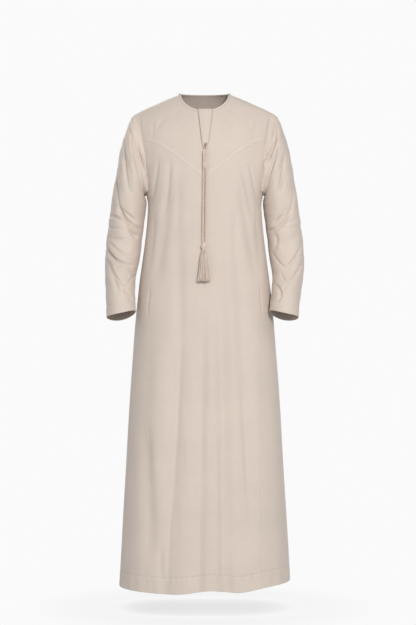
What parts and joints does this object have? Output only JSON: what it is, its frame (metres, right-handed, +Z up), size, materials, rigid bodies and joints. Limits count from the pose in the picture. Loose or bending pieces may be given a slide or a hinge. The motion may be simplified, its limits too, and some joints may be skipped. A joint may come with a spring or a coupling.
{
  "type": "thobe robe",
  "caption": "Collarless ankle-length thobe robe in worn, hollow form, with long sleeves, flared side gores and a long cord tassel at the neck.",
  "frame": {"origin": "midway between the two side neck points, where the wearer's shoulders carry the robe", "axes": "+Z up, +X towards the viewer's right when facing the robe's front, the front faces -Y"},
  "size_m": [0.5952, 0.3447, 1.4806],
  "materials": {
    "robe_cloth": "plain fine weave, soft satin sheen",
    "tassel_cord": "twisted silky cord, matt to satin"
  },
  "bodies": {
    "root": {"front_panel": "robe_cloth", "back_panel": "robe_cloth", "side_gore_left": "robe_cloth", "side_gore_right": "robe_cloth", "sleeve_front_upper_left": "robe_cloth", "sleeve_front_lower_left": "robe_cloth", "sleeve_back_upper_left": "robe_cloth", "sleeve_back_lower_left": "robe_cloth", "sleeve_front_upper_right": "robe_cloth", "sleeve_front_lower_right": "robe_cloth", "sleeve_back_upper_right": "robe_cloth", "sleeve_back_lower_right": "robe_cloth", "neck_binding": "robe_cloth", "placket_flap": "robe_cloth", "chest_band_left": "robe_cloth", "chest_band_right": "robe_cloth", "tassel_tail_left": "tassel_cord", "tassel_tail_right": "tassel_cord", "tassel_whipping": "tassel_cord", "tassel_cord_left": "tassel_cord", "tassel_cord_right": "tassel_cord", "tassel_knot": "tassel_cord", "tassel_skirt": "tassel_cord"}
  },
  "joints": []
}
